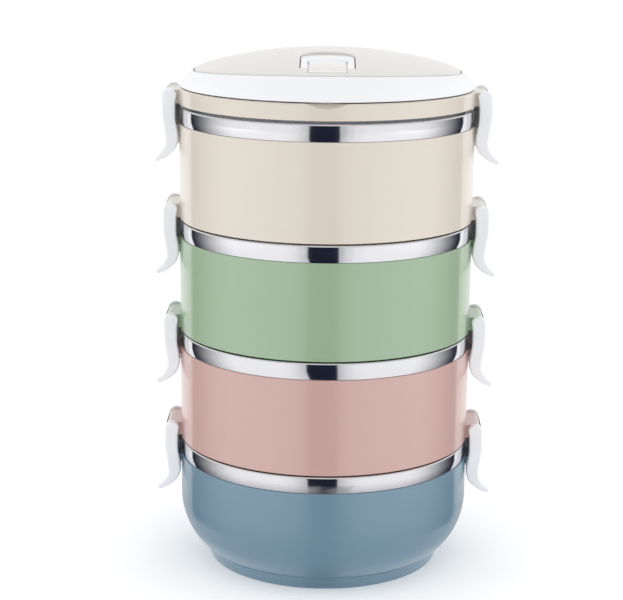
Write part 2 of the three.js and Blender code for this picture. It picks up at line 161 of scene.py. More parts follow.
def arc(centre, radii, start, end, steps):
    """Points along an oval arc, with its angles in degrees."""
    angles = np.radians(np.linspace(start, end, steps + 1))
    return [(centre[0] + radii[0] * math.cos(a), centre[1] + radii[1] * math.sin(a)) for a in angles]


def rounded(corners, closed=True, steps=4):
    """Outline through (a, b) or (a, b, radius) corners, with an arc at each corner that has a radius."""
    points = []
    last = len(corners) - 1
    for i, corner in enumerate(corners):
        here = Vector(corner[:2])
        radius = corner[2] if len(corner) == 3 else 0
        if radius == 0 or (not closed and i in (0, last)):
            points.append(tuple(here))
            continue
        before = (Vector(corners[i - 1][:2]) - here).normalized()
        after = (Vector(corners[(i + 1) % len(corners)][:2]) - here).normalized()
        half = before.angle(after) / 2
        centre = here + (before + after).normalized() * (radius / math.sin(half))
        start = here + before * (radius / math.tan(half)) - centre
        end = here + after * (radius / math.tan(half)) - centre
        turn = math.atan2(start.cross(end), start.dot(end))
        first = math.atan2(start.y, start.x)
        for k in range(steps + 1):
            a = first + turn * k / steps
            points.append((centre.x + radius * math.cos(a), centre.y + radius * math.sin(a)))
    return points


def smooth_line(points, count):
    """`count` + 1 points, evenly spaced, along a Catmull-Rom curve through the given ones."""
    p = np.array(points, float)
    p = np.vstack([2 * p[0] - p[1], p, 2 * p[-1] - p[-2]])
    t = np.linspace(0, 1, 24, endpoint=False)[:, None]
    dense = [
        0.5 * (2 * b + (c - a) * t + (2 * a - 5 * b + 4 * c - d) * t**2 + (3 * b - a - 3 * c + d) * t**3)
        for a, b, c, d in zip(p, p[1:], p[2:], p[3:])
    ]
    return even(np.vstack(dense + [p[-2:-1]]), count)


def even(points, count):
    """`count` + 1 points evenly spaced along a polyline."""
    p = np.array(points, float)
    run = np.concatenate([[0], np.cumsum(np.linalg.norm(np.diff(p, axis=0), axis=1))])
    at = np.linspace(0, run[-1], count + 1)
    return [tuple(q) for q in np.column_stack([np.interp(at, run, p[:, k]) for k in (0, 1)])]


def area(outline):
    x, y = np.array(outline).T
    return 0.5 * float(np.sum(x * np.roll(y, -1) - np.roll(x, -1) * y))


def outward(outline):
    """Unit normals that point to the right of an outline's travel, one for each point."""
    p = np.array(outline, float)
    step = np.roll(p, -1, axis=0) - p
    step /= np.maximum(np.linalg.norm(step, axis=1), 1e-9)[:, None]
    along = step + np.roll(step, 1, axis=0)
    normal = np.column_stack([along[:, 1], -along[:, 0]])
    normal /= np.maximum(np.linalg.norm(normal, axis=1), 1e-9)[:, None]
    right = np.column_stack([step[:, 1], -step[:, 0]])
    stretch = np.clip(np.sum(normal * right, axis=1), 0.5, 1)
    return normal / stretch[:, None]


def inside(outlines, points):
    """True for the points that lie inside an odd number of the outlines."""
    p = np.asarray(points, float)
    odd = np.zeros(len(p), bool)
    for outline in outlines:
        a = np.array(outline, float)
        b = np.roll(a, -1, axis=0)
        for (x0, y0), (x1, y1) in zip(a, b):
            crosses = (y0 > p[:, 1]) != (y1 > p[:, 1])
            if crosses.any():
                x = x0 + (p[:, 1] - y0) / (y1 - y0) * (x1 - x0)
                odd ^= crosses & (p[:, 0] < x)
    return odd


def ring_grid(radii, spacing):
    """Points on rings about the axis, about `spacing` apart along each ring."""
    points = [(0.0, 0.0)]
    for r in radii:
        count = max(6, round(2 * math.pi * r / spacing))
        points += arc((0, 0), (r, r), 0, 360 - 360 / count, count - 1)
    return points


def hex_grid(outline, spacing):
    """Points on a triangular grid over an outline's box."""
    p = np.array(outline)
    lo, hi = p.min(0), p.max(0)
    rows = np.arange(lo[1], hi[1], spacing * 0.866)
    return [
        (x + (i % 2) * spacing / 2, y)
        for i, y in enumerate(rows)
        for x in np.arange(lo[0], hi[0], spacing)
    ]


# ---- solids: each is a list of points and a list of faces ----

def lathe(profile, angles=None):
    """A closed outline of (radius, height) points turned about Z; points on the axis become poles."""
    if angles is None:
        angles = np.radians(np.arange(COLUMNS) * 360 / COLUMNS)
    count = len(angles)
    points, rings = [], []
    for r, z in profile:
        if r < 1e-6:
            rings.append([len(points)] * count)
            points.append((0, 0, z))
        else:
            rings.append(list(range(len(points), len(points) + count)))
            points += [(r * math.cos(a), r * math.sin(a), z) for a in angles]
    faces = []
    for near, far in zip(rings, rings[1:] + rings[:1]):
        for k in range(count):
            m = (k + 1) % count
            corners = [near[k], near[m], far[m], far[k]]
            face = [c for i, c in enumerate(corners) if c != corners[i - 1]]
            if len(face) > 2:
                faces.append(face)
    return points, faces


def loft(loops):
    """A closed skin through loops of equally many points."""
    count = len(loops[0])
    points = [tuple(p) for loop in loops for p in loop]
    faces = []
    for j in range(len(loops) - 1):
        for k in range(count):
            m = (k + 1) % count
            faces.append([j * count + k, j * count + m, (j + 1) * count + m, (j + 1) * count + k])
    faces.append(list(range(count)))
    faces.append(list(range((len(loops) - 1) * count, len(loops) * count)))
    return points, faces


def plate(outline, top, bottom, edge, holes=(), hole_edge=None, grid=None, spacing=3.0):
    """A closed piece over a plan, between two height functions. Its upper and lower edges are rounded by
    `edge`, and round the holes by `hole_edge`."""
    loops = [outline if area(outline) > 0 else outline[::-1]]
    loops += [hole if area(hole) < 0 else hole[::-1] for hole in holes]
    normals = [outward(loop) for loop in loops]
    edges = [edge] + [edge if hole_edge is None else hole_edge] * len(holes)
    inner = [np.array(loop) - normal * size for loop, normal, size in zip(loops, normals, edges)]

    fill = np.array(hex_grid(outline, spacing) if grid is None else grid)
    fill = fill[inside(inner, fill)]
    border = np.vstack(inner)
    clear = [np.min(np.sum((border - p) ** 2, axis=1)) > (0.45 * spacing) ** 2 for p in fill]
    fill = fill[np.array(clear, bool)] if len(fill) else fill.reshape(0, 2)
    links, start = [], 0
    for loop in inner:
        links += [(start + k, start + (k + 1) % len(loop)) for k in range(len(loop))]
        start += len(loop)
    given = [Vector(p) for p in np.vstack([border, fill])]
    made, _, triangles, origins, _, _ = delaunay_2d_cdt(given, links, [], 0, 1e-6)
    flat = np.array([p[:] for p in made])
    triangles = np.array(triangles)
    triangles = triangles[inside(inner, flat[triangles].mean(axis=1))]

    # The rim rings come first, so that the triangulated faces share their points.
    points, faces, place = [], [], {}
    given_index = 0
    for loop, normal, size in zip(inner, normals, edges):
        rings = []
        for sign, height in ((1, top), (-1, bottom)):
            tiers = []
            for k in range(EDGE_STEPS + 1):
                t = math.pi / 2 * k / EDGE_STEPS
                xy = loop + normal * size * math.sin(t)
                z = [height(x, y) - sign * size * (1 - math.cos(t)) for x, y in xy]
                tiers.append(range(len(points), len(points) + len(loop)))
                points += [(x, y, h) for (x, y), h in zip(xy, z)]
            for k in range(len(loop)):
                place[(given_index + k, sign)] = tiers[0][k]
            rings += tiers if sign == 1 else tiers[::-1]
        given_index += len(loop)
        for near, far in zip(rings, rings[1:]):
            for k in range(len(loop)):
                m = (k + 1) % len(loop)
                faces.append([near[k], far[k], far[m], near[m]])
    for sign, height in ((1, top), (-1, bottom)):
        index = []
        for p, from_given in zip(flat, origins):
            known = [place[(g, sign)] for g in from_given if (g, sign) in place]
            if known:
                index.append(known[0])
            else:
                index.append(len(points))
                points.append((p[0], p[1], height(p[0], p[1])))
        for a, b, c in triangles:
            faces.append([index[a], index[b], index[c]][::sign])
    return points, faces


def join(*solids):
    points, faces = [], []
    for more, loops in solids:
        start = len(points)
        points += list(more)
        faces += [[start + i for i in face] for face in loops]
    return points, faces


def moved(solid, change):
    return [change(*p) for p in solid[0]], solid[1]


def lifted(solid, height):
    return moved(solid, lambda x, y, z: (x, y, z + height))


def opposite(solid):
    return moved(solid, lambda x, y, z: (-x, -y, z))


def drawn_along_y(outline, start, end, edge):
    """An (x, z) outline drawn out along Y, with its end edges rounded."""
    solid = plate(outline, lambda x, y: end, lambda x, y: start, edge, spacing=50)
    return moved(solid, lambda x, y, z: (x, z, y))


# ---- from solids to objects ----

def mesh_object(name, solid):
    """A Blender object, in metres, with its loose points merged and its faces pointing out."""
    mesh = bpy.data.meshes.new(name)
    mesh.from_pydata([tuple(c * MM for c in p) for p in solid[0]], [], solid[1])
    made = bmesh.new()
    made.from_mesh(mesh)
    bmesh.ops.remove_doubles(made, verts=made.verts, dist=1e-7)
    bmesh.ops.dissolve_degenerate(made, edges=made.edges, dist=1e-8)
    bmesh.ops.recalc_face_normals(made, faces=made.faces)
    made.to_mesh(mesh)
    made.free()
    piece = bpy.data.objects.new(name, mesh)
    bpy.context.scene.collection.objects.link(piece)
    return piece


def combine(piece, tool, operation):
    """Cuts or joins one object with another, and removes the other."""
    step = piece.modifiers.new("combine", "BOOLEAN")
    step.operation = operation
    step.object = tool
    step.solver = "EXACT"
    evaluated = piece.evaluated_get(bpy.context.evaluated_depsgraph_get())
    result = bpy.data.meshes.new_from_object(evaluated)
    piece.modifiers.clear()
    piece.data = result
    bpy.data.objects.remove(tool)


def finish_piece(piece, body, material, nodes):
    """Smooths a piece's shading, gives it its material, and puts it in the place of its CAD nodes."""
    piece.data.materials.clear()
    piece.data.materials.append(material)
    piece.data.shade_smooth()
    piece.data.set_sharp_from_angle(angle=math.radians(CREASE))
    weighted = piece.modifiers.new("weighted_normals", "WEIGHTED_NORMAL")
    weighted.keep_sharp = True
    weighted.weight = 100
    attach(piece, body)
    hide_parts(*nodes)


# ---- materials ----

def add(tree, kind, settings=None, **inputs):
    """A shader node, with its inputs set to values or linked from sockets."""
    made = tree.nodes.new("ShaderNode" + kind)
    for key, value in (settings or {}).items():
        setattr(made, key, value)
    for key, value in inputs.items():
        socket = made.inputs[key.replace("_", " ")]
        if isinstance(value, bpy.types.NodeSocket):
            tree.links.new(value, socket)
        else:
            socket.default_value = value
    return made


def linear(red, green, blue):
    """A display colour of 0 to 255 as scene-linear."""
    def channel(c):
        c /= 255
        return c / 12.92 if c < 0.04045 else ((c + 0.055) / 1.055) ** 2.4
    return (channel(red), channel(green), channel(blue), 1)


def new_material(name):
    made = bpy.data.materials.new(name)
    made.use_nodes = True
    tree = made.node_tree
    return made, tree, tree.nodes["Principled BSDF"]


def noise(tree, place, scale, detail):
    return add(tree, "TexNoise", Vector=place, Scale=scale, Detail=detail).outputs["Fac"]


def spread(tree, value, start, end, a, b):
    """A value mapped from one range to another."""
    mapped = add(tree, "MapRange", Value=value, From_Min=start, From_Max=end, To_Min=a, To_Max=b)
    return mapped.outputs["Result"]


def tint(tree, factor, a, b):
    mix = tree.nodes.new("ShaderNodeMix")
    mix.data_type = "RGBA"
    sockets = {s.identifier: s for s in mix.inputs}
    tree.links.new(factor, sockets["Factor_Float"])
    sockets["A_Color"].default_value = a
    sockets["B_Color"].default_value = b
    return next(s for s in mix.outputs if s.identifier == "Result_Color")


def shade_of(color, share):
    return tuple(c * share for c in color[:3]) + (1,)


def plastic(name, color):
    """Glossy injection-moulded plastic: faint clouding of the pigment, a slight ripple and fine grain."""
    gloss = 0.3
    made, tree, surface = new_material(name)
    place = add(tree, "TexCoord").outputs["Object"]
    cloud = noise(tree, place, 22, 3)
    pigment = tint(tree, cloud, shade_of(color, 0.975), shade_of(color, 1.02))
    tree.links.new(pigment, surface.inputs["Base Color"])
    haze = spread(tree, noise(tree, place, 160, 3), 0.3, 0.7, gloss - 0.02, gloss + 0.03)
    tree.links.new(haze, surface.inputs["Roughness"])
    surface.inputs["IOR"].default_value = 1.5
    surface.inputs["Specular IOR Level"].default_value = 0.75
    surface.inputs["Coat Weight"].default_value = 0.6
    surface.inputs["Specular Tint"].default_value = (0.7, 0.84, 1, 1)
    surface.inputs["Coat Roughness"].default_value = 0.11
    surface.inputs["Coat IOR"].default_value = 1.6
    ripple = add(tree, "Bump", Height=noise(tree, place, 70, 1), Strength=0.06, Distance=0.0006)
    grain = add(
        tree, "Bump", Height=noise(tree, place, 1800, 2), Strength=0.03, Distance=0.0002,
        Normal=ripple.outputs["Normal"],
    )
    tree.links.new(grain.outputs["Normal"], surface.inputs["Normal"])
    return made


def steel(name, color, polish, streaks):
    """Turned steel: fine lines that run round the axis, over a slightly uneven polish."""
    made, tree, surface = new_material(name)
    place = add(tree, "TexCoord").outputs["Object"]
    split = add(tree, "SeparateXYZ", Vector=place)
    flat = add(tree, "CombineXYZ", X=split.outputs["X"], Y=split.outputs["Y"])
    radius = add(tree, "VectorMath", {"operation": "LENGTH"}, Vector=flat.outputs["Vector"])
    across = add(tree, "Math", {"operation": "ADD"})
    tree.links.new(split.outputs["Z"], across.inputs[0])
    tree.links.new(radius.outputs["Value"], across.inputs[1])
    line_place = add(
        tree, "CombineXYZ", X=split.outputs["X"], Y=split.outputs["Y"], Z=across.outputs["Value"]
    )
    stretched = add(
        tree, "Mapping", Vector=line_place.outputs["Vector"], Scale=(12, 12, 2600)
    ).outputs["Vector"]
    lines = noise(tree, stretched, 1, 2)
    patch = noise(tree, place, 40, 2)
    tree.links.new(tint(tree, patch, shade_of(color, 0.96), color), surface.inputs["Base Color"])
    rough = spread(tree, lines, 0.3, 0.7, polish * 0.7, polish * 1.4)
    tree.links.new(rough, surface.inputs["Roughness"])
    surface.inputs["Metallic"].default_value = 1
    upright = add(tree, "Mapping", Vector=place, Scale=(170, 170, 12)).outputs["Vector"]
    wave = add(tree, "Bump", Height=noise(tree, upright, 1, 1), Strength=0.05, Distance=0.0004)
    bump = add(
        tree, "Bump", Height=lines, Strength=streaks, Distance=0.0001, Normal=wave.outputs["Normal"]
    )
    tree.links.new(bump.outputs["Normal"], surface.inputs["Normal"])
    return made


def silicone(name, color):
    """Matt, slightly dusty rubber."""
    made, tree, surface = new_material(name)
    place = add(tree, "TexCoord").outputs["Object"]
    cloud = noise(tree, place, 60, 4)
    tree.links.new(tint(tree, cloud, shade_of(color, 0.93), color), surface.inputs["Base Color"])
    haze = spread(tree, noise(tree, place, 400, 3), 0.3, 0.7, 0.45, 0.62)
    tree.links.new(haze, surface.inputs["Roughness"])
    bump = add(tree, "Bump", Height=noise(tree, place, 2500, 2), Strength=0.12, Distance=0.0001)
    tree.links.new(bump.outputs["Normal"], surface.inputs["Normal"])
    surface.inputs["Subsurface Weight"].default_value = 0.15
    surface.inputs["Subsurface Scale"].default_value = 0.002
    return made


COLORS = {
    "cream": linear(221, 211, 197),
    "pale_cream": linear(228, 224, 218),
    "green": linear(154, 178, 145),
    "pink": linear(203, 165, 156),
    "blue": linear(109, 140, 159),
    "white": linear(248, 249, 252),
    # a darker, warmer white for the vent flap: painted shade for its finger dish
    "shaded_white": linear(246, 243, 240),
}
PLASTIC = {name: plastic(f"{name}_glossy_plastic", color) for name, color in COLORS.items()}
POLISHED = steel("polished_steel_sheet", linear(221, 221, 225), 0.07, 0.05)
PIN_STEEL = steel("drawn_steel_wire", linear(190, 190, 194), 0.3, 0.2)
RUBBER = silicone("seal_silicone", linear(232, 230, 222))


# ---- tiers ----

def neck(top):
    """Upper end of a shell, from the outside to the inside: the shelf and the neck behind the steel band."""
    shelf = top - BAND_HEIGHT - GAP
    return [
        (BODY_R, shelf, 0.35),
        (NECK_R, shelf, 0.2),
        (NECK_R, top - NECK_DROP, 0.4),
        (NECK_R - 2, top - NECK_DROP, 0.4),
        (NECK_R - 2, shelf - 2, 0.3),
        (BODY_R - WALL, shelf - 3.5, 0.3),
    ]


def band(top):
    """Upper end of a bowl, from the outside to the inside: the flat rim folded down as a band, whose lower
    half curls inwards a little."""
    rim = top - RIM_DROP
    foot = top - BAND_HEIGHT - BAND_DROP
    curl = [(BAND_R - BAND_CURL * u * u, foot + BAND_HEIGHT / 2 * (1 - u)) for u in np.linspace(1, 0, 8)]
    return [
        (BOWL_R, rim - STEEL, 0.4),
        (BAND_R - STEEL, rim - STEEL, 0.3),
        (BAND_R - STEEL, foot, 0.1),
        *curl,
        (BAND_R, rim, 0.8),
        (BOWL_R - STEEL, rim, 1.0),
    ]


def hinge_lugs():
    """Lugs at both sides, each rounded about its latch pin."""
    outline = [
        (ROOT_R, PIN_Z - LUG_R),
        *arc((PIN_X, PIN_Z), (LUG_R, LUG_R), -90, 90, 16),
        (ROOT_R, PIN_Z + LUG_R),
    ]
    lug = drawn_along_y(outline, -LUG_HALF, LUG_HALF, 0.4)
    return join(lug, opposite(lug))


def catches(top):
    """Ridges under the steel band that the latches close over."""
    flat, front, foot = CATCH_DROPS
    outline = rounded(
        [
            (ROOT_R, top - flat),
            (CATCH_SLOPE_R, top - flat, 0.2),
            (CATCH_R, top - front, 0.5),
            (CATCH_R, top - foot, 0.3),
            (ROOT_R, top - foot),
        ]
    )
    ridge = drawn_along_y(outline, -CATCH_HALF, CATCH_HALF, 0.15)
    return join(ridge, opposite(ridge))


def upper_shell(tier):
    wall = rounded([(BODY_R, SEAM - HANG, 0.5), *neck(PITCH), (BODY_R - WALL, SEAM, 0.4)])
    piece = mesh_object(f"{tier}_shell_moulding", lifted(lathe(wall), SEAM_Z[tier]))
    fittings = mesh_object("fittings", lifted(join(hinge_lugs(), catches(PITCH)), SEAM_Z[tier]))
    combine(piece, fittings, "UNION")
    finish_piece(piece, f"{tier}_tier", PLASTIC[tier], [f"{tier}_shell"])


def upper_bowl(tier):
    floor = 4.6
    corner = 6.8
    profile = rounded(
        [
            (0, floor),
            (BOWL_R, floor, corner),
            *band(PITCH),
            (BOWL_R - STEEL, floor + STEEL, corner - STEEL),
            (0, floor + STEEL),
        ],
        closed=False,
        steps=8,
    )
    piece = mesh_object(f"{tier}_bowl_pressing", lifted(lathe(profile), SEAM_Z[tier]))
    finish_piece(piece, f"{tier}_tier", POLISHED, [f"{tier}_bowl"])


def closure():
    """Bottom plate of a tier or of the lid, with its spigot and two low stiffening rings below."""
    inner, outer = SPIGOT
    edge = BODY_R - WALL - GAP
    draft = 0.3  # how far a rib's flanks lean
    ribs = []
    for r in RIB_RADII:
        ribs += [
            (r, CLOSURE_LOW, 0.3),
            (r + draft, CLOSURE_LOW - RIB_TALL, 0.3),
            (r + RIB_WIDE - draft, CLOSURE_LOW - RIB_TALL, 0.3),
            (r + RIB_WIDE, CLOSURE_LOW, 0.3),
        ]
    return rounded(
        [
            (0, CLOSURE_LOW),
            *ribs,
            (inner, CLOSURE_LOW, 0.8),
            (inner, SPIGOT_LOW, 0.5),
            (outer, SPIGOT_LOW, 0.7),
            (outer, CLOSURE_LOW, 0.3),
            (edge, CLOSURE_LOW, 0.3),
            (edge, CLOSURE_HIGH, 0.3),
            (0, CLOSURE_HIGH),
        ],
        closed=False,
    )


def tier_closure(tier):
    piece = mesh_object(f"{tier}_base_moulding", lifted(lathe(closure()), SEAM_Z[tier]))
    finish_piece(piece, f"{tier}_tier", PLASTIC[tier], [f"{tier}_base"])


def seal(owner, body):
    """Silicone ring with one lip, round a spigot."""
    lip = rounded(
        [
            (65.8, -4.6, 0.2),
            (67.5, -4.1, 0.25),
            (67.2, -3.1, 0.3),
            (66.7, -2.3, 0.2),
            (65.8, -2.2, 0.2),
        ]
    )
    piece = mesh_object(f"{owner}_seal_ring", lifted(lathe(lip), SEAM_Z[owner]))
    finish_piece(piece, body, RUBBER, [f"{owner}_seal"])


def corner_arc(inset, start_z, steps):
    """The bottom tier's quarter-oval corner, set in by `inset`, from height `start_z` up to the wall."""
    tall = CORNER_TALL - inset
    end = math.degrees(math.asin((CORNER_START - start_z) / tall))
    return arc((BODY_R - CORNER_WIDE, CORNER_START), (CORNER_WIDE - inset, tall), -end, 0, steps)


def bottom_tier():
    inner_floor = FOOT_TOP + WALL
    shell = rounded(
        [
            (0, FOOT_TOP),
            *corner_arc(0, FOOT_TOP, 40),
            *neck(BASE_TOP),
            *corner_arc(WALL, inner_floor, 30)[::-1],
            (0, inner_floor),
        ],
        closed=False,
    )
    piece = mesh_object("blue_shell_moulding", lathe(shell))
    combine(piece, mesh_object("fittings", catches(BASE_TOP)), "UNION")
    finish_piece(piece, "base_tier", PLASTIC["blue"], ["blue_shell"])

    inset = BODY_R - BOWL_R
    floor = inner_floor + 0.8
    bowl = rounded(
        [
            (0, floor),
            *corner_arc(inset, floor, 30),
            *band(BASE_TOP),
            *corner_arc(inset + STEEL, floor + STEEL, 30)[::-1],
            (0, floor + STEEL),
        ],
        closed=False,
        steps=8,
    )
    piece = mesh_object("blue_bowl_pressing", lathe(bowl))
    finish_piece(piece, "base_tier", POLISHED, ["blue_bowl"])

    foot = rounded(
        [
            (FOOT_R_INNER, 0, 0.6),
            (FOOT_R_LOW, 0, 0.8),
            (FOOT_R, FOOT_TOP - GAP, 0.5),
            (FOOT_R_INNER, FOOT_TOP - GAP, 0.3),
        ]
    )
    piece = mesh_object("foot_ring_moulding", lathe(foot))
    finish_piece(piece, "base_tier", PLASTIC["blue"], ["foot_ring"])


# ---- latches ----

def lever_outlines():
    """Side outlines of the S-shaped lever at the +X side, drawn from the seam plane, as equally many points:
    the cheeks', and that of the plate between them."""
    back = smooth_line([(80, 5.1), (80.1, -4), (79, -12), (78.4, -17.5), (79.9, -21.4), (83.2, -24.7)], 44)
    tail = arc((82.75, -25.75), (1.15, 1.15), 48, -132, 12)
    hook = [(81.6, -26.6), (77.7, -24.6), (73.9, -21.2), (72.2, -17), (72.4, -12), (73.4, -6), (73.4, 1.5)]
    under = smooth_line(hook, 50)
    crown = arc((76.35, 5.1), (3.65, 3.65), 170, 8, 24)
    hollow = [
        *smooth_line([(81.6, -26.6), (78.2, -23), (75.8, -18.2), (74.95, -14.6)], 20),
        (74.9, -12.9),
        (76, -12.9),
        (76.8, -4),
        *arc((PIN_X, PIN_Z), (LUG_R + 0.4, LUG_R + 0.4), -88, 0, 12),
    ]
    cheek = [*back, *tail, *under, *crown]
    count = len(cheek) - len(back) - len(tail)
    inner = even(hollow, 51) + even([hollow[-1], back[0]], count - 52)[1:]
    return cheek, [*back, *tail, *inner]


def lever_loops():
    """Loops of a lever from one side face to the other: rounded cheek, plate, rounded cheek."""
    cheek, web = lever_outlines()
    steps = 6
    normals = outward(cheek) * (1 if area(cheek) > 0 else -1)
    loops = []
    for k in range(steps + 1):
        t = math.pi / 2 * k / steps
        inset = LATCH_SOFT * (1 - math.sin(t))
        y = -LATCH_HALF + LATCH_SOFT * (1 - math.cos(t))
        loops.append([(x, y, z) for x, z in np.array(cheek) - normals * inset])
    loops.append([(x, -CHEEK_INNER, z) for x, z in cheek])
    loops.append([(x, -CHEEK_INNER, z) for x, z in web])
    mirrored = [[(x, -y, z) for x, y, z in loop] for loop in loops]
    return loops + mirrored[::-1]


def latches(owner):
    """The two levers of one piece, at the right and the left."""
    solid = lifted(loft(lever_loops()), SEAM_Z[owner])
    for side, turned in (("right", solid), ("left", opposite(solid))):
        piece = mesh_object(f"{owner}_latch_{side}_moulding", turned)
        body = f"{owner}_latch_{side}_lever"
        finish_piece(piece, body, PLASTIC["white"], [f"{owner}_latch_{side}"])


# ---- lid ----

def shoulder_curve():
    """The shoulder's outline as a cubic curve that leaves the dome on its tangent."""
    start = np.array([DOME_EDGE, CROWN - DOME_EDGE**2 / (2 * DOME_R)])
    end = np.array(SHOULDER_END)
    leave = np.array([1, -DOME_EDGE / DOME_R]) / math.hypot(1, DOME_EDGE / DOME_R)
    fall = math.radians(SHOULDER_FALL)
    arrive = np.array([-math.cos(fall), math.sin(fall)])
    a, b = start + leave * 8.5, end + arrive * 10.4
    t = np.linspace(0, 1, 200)[:, None]
    return (1 - t) ** 3 * start + 3 * (1 - t) ** 2 * t * a + 3 * (1 - t) * t**2 * b + t**3 * end


SHOULDER = shoulder_curve()


def lid_height(x, y):
    """Height of the lid's outer surface above the seam plane."""
    r = math.hypot(x, y)
    if r < DOME_EDGE:
        return CROWN - r * r / (2 * DOME_R)
    return float(np.interp(r, SHOULDER[:, 0], SHOULDER[:, 1]))


def lid_radius(z):
    """Radius of the lid's outer surface at a height on the shoulder."""
    return float(np.interp(-z, -SHOULDER[:, 1], SHOULDER[:, 0]))


def lid_object(name, solid):
    return mesh_object(name, lifted(solid, SEAM_Z["lid"]))


def notched_rim():
    """The lid's rim ring, with its top edge dipping into the finger notch at the front."""
    wall = rounded(
        [
            (BODY_R, LID_SEAM - HANG, 0.4),
            (BODY_R, RIM_TOP, 0.8),
            (50, RIM_TOP, 0.3),
            (50, RIM_TOP - 2, 0.3),
            (BODY_R - WALL, RIM_TOP - 2, 0.4),
            (BODY_R - WALL, LID_SEAM, 0.4),
        ],
        steps=6,
    )
    inner = next(k for k, (r, z) in enumerate(wall) if r < DECK_R)
    deck = [(r, RIM_TOP) for r in np.linspace(BODY_R - 1, DECK_R, 16)]
    wall = wall[:inner] + deck + wall[inner:]
    coarse = np.arange(-76, 256, 360 / COLUMNS)
    fine = np.arange(-104, -76, 0.4)
    angles = np.radians(np.concatenate([fine, coarse]))
    points, faces = lathe(wall, angles)

    def dip(x, y, z):
        across = 1 - (x / NOTCH["half"]) ** 2 - ((y + BODY_R) / NOTCH["deep"]) ** 2
        if y > 0 or across <= 0 or z < RIM_TOP - 3:
            return (x, y, z)
        depth = NOTCH["half"] * math.sqrt(across) - NOTCH["lift"]
        soft = 0.5
        return (x, y, z - (depth + math.sqrt(depth * depth + soft * soft)) / 2)

    return moved((points, faces), dip)


def lid_rim():
    piece = lid_object("lid_rim_moulding", notched_rim())
    combine(piece, lid_object("fittings", hinge_lugs()), "UNION")
    finish_piece(piece, "lid", PLASTIC["cream"], ["lid_rim"])


def vent_plan(grow, front):
    """Plan of the vent's well: straight sides and a rounded back."""
    half = VENT_HALF + grow
    corner = VENT_CORNER + grow
    turn_x = half - corner
    turn_y = VENT_BACK + grow - corner
    return [
        *arc((turn_x, turn_y), (corner, corner), 0, 90, 14),
        *arc((-turn_x, turn_y), (corner, corner), 90, 180, 14),
        (-half, front),
        (half, front),
    ]


def steam_hole():
    centre, radius = STEAM_HOLE
    return arc((0, centre), (radius, radius), 0, 350, 35)


def flap_to_lid(x, y, z):
    """From the flap's own frame, with its front along -Y, to its sloping place on the dome."""
    c, s = math.cos(FLAP_SLOPE), math.sin(FLAP_SLOPE)
    return (x, FLAP_Y + y * c - z * s, FLAP_Z + y * s + z * c)


def flap_height(local_z):
    """Height function of a plane that lies `local_z` above the flap's hinge line, along its slope."""
    def height(x, y):
        return FLAP_Z + local_z / math.cos(FLAP_SLOPE) + (y - FLAP_Y) * math.tan(FLAP_SLOPE)
    return height


def panel_plan():
    """The panel's plan: the oval step in front, the full round behind."""
    rim = lid_radius(RIM_TOP + GAP + 0.7)
    front = arc((0, 0), (PANEL_A + STEP_GROW[0], PANEL_B + STEP_GROW[1]), 180, 360, 150)
    back = arc((0, 0), (rim, rim), 0, 180, 190)
    return front + back


def lid_panel():
    low_z = RIM_TOP + GAP
    notch_front = FLAP_Y - FLAP_FRONT * math.cos(FLAP_SLOPE) - 0.6
    well = vent_plan(0, VENT_FRONT)
    well = well[:-2] + rounded(
        [
            well[-2] + (1.0,),
            (-SLOT_HALF, VENT_FRONT, 0.9),
            (-SLOT_HALF, notch_front, 0.8),
            (SLOT_HALF, notch_front, 0.8),
            (SLOT_HALF, VENT_FRONT, 0.9),
            well[-1] + (1.0,),
            well[0],
            well[-3],
        ]
    )[:-2]
    radii = [*np.arange(3, 54, 3), *SHOULDER[::9, 0][2:]]
    skin = plate(
        panel_plan(),
        lid_height,
        lambda x, y: low_z,
        0.3,
        holes=[well],
        hole_edge=0.7,
        grid=ring_grid(radii, 3),
    )
    tub_half, ledge_half, front = 16, 11, -56  # the tub under the vent, and the ledge under the flap's lip
    tub = plate(
        [(-tub_half, front), (tub_half, front), (tub_half, VENT_BACK + 3), (-tub_half, VENT_BACK + 3)],
        lambda x, y: VENT_FLOOR,
        lambda x, y: low_z + 0.2,
        0.2,
    )
    ledge = plate(
        [(-ledge_half, front), (ledge_half, front), (ledge_half, VENT_FRONT), (-ledge_half, VENT_FRONT)],
        flap_height(-1.7),
        lambda x, y: VENT_FLOOR - 1,
        0.2,
    )
    piece = lid_object("lid_panel_moulding", skin)
    combine(piece, lid_object("tub", tub), "UNION")
    combine(piece, lid_object("ledge", ledge), "UNION")
    room = HANDLE_END_R + 0.25
    beyond = 80  # clear of the panel
    for side in (1, -1):
        circle = arc((0, HANDLE_Z), (room, room), 0, 355, 71)
        cutter = plate(circle, lambda x, y: beyond, lambda x, y: PANEL_A, 0, spacing=50)
        cutter = moved(cutter, lambda x, y, z: (side * z, x, y))
        combine(piece, lid_object("cutter", cutter), "DIFFERENCE")
    finish_piece(piece, "lid", PLASTIC["pale_cream"], ["lid_panel"])


def handle_section(angle):
    """Section of the handle in the plane through the axis at `angle`, as (radius, height) points."""
    a, b = PANEL_A + HANDLE_GAP, PANEL_B + HANDLE_GAP
    inner = 1 / math.hypot(math.cos(angle) / a, math.sin(angle) / b)
    outer = lid_radius(HANDLE_LOW)
    brow = 0.9  # rounding of the inner upper edge
    top = [(r, lid_height(r, 0)) for r in np.linspace(inner + brow, outer, 22)]
    crest = lid_height(inner + brow, 0)
    front = [
        (inner + brow * (1 - math.cos(t)), crest - brow * (1 - math.sin(t)))
        for t in np.radians([0, 22, 45, 68])
    ]
    lower = [
        (outer - 0.15, HANDLE_LOW + 0.15),
        (outer - 0.5, HANDLE_LOW),
        *[(r, HANDLE_LOW) for r in np.linspace(outer - 2, inner + 0.8, 10)],
        (inner + 0.25, HANDLE_LOW + 0.15),
        (inner, HANDLE_LOW + 0.5),
    ]
    return front + top[:-1] + [(outer, HANDLE_LOW + 0.4)] + lower


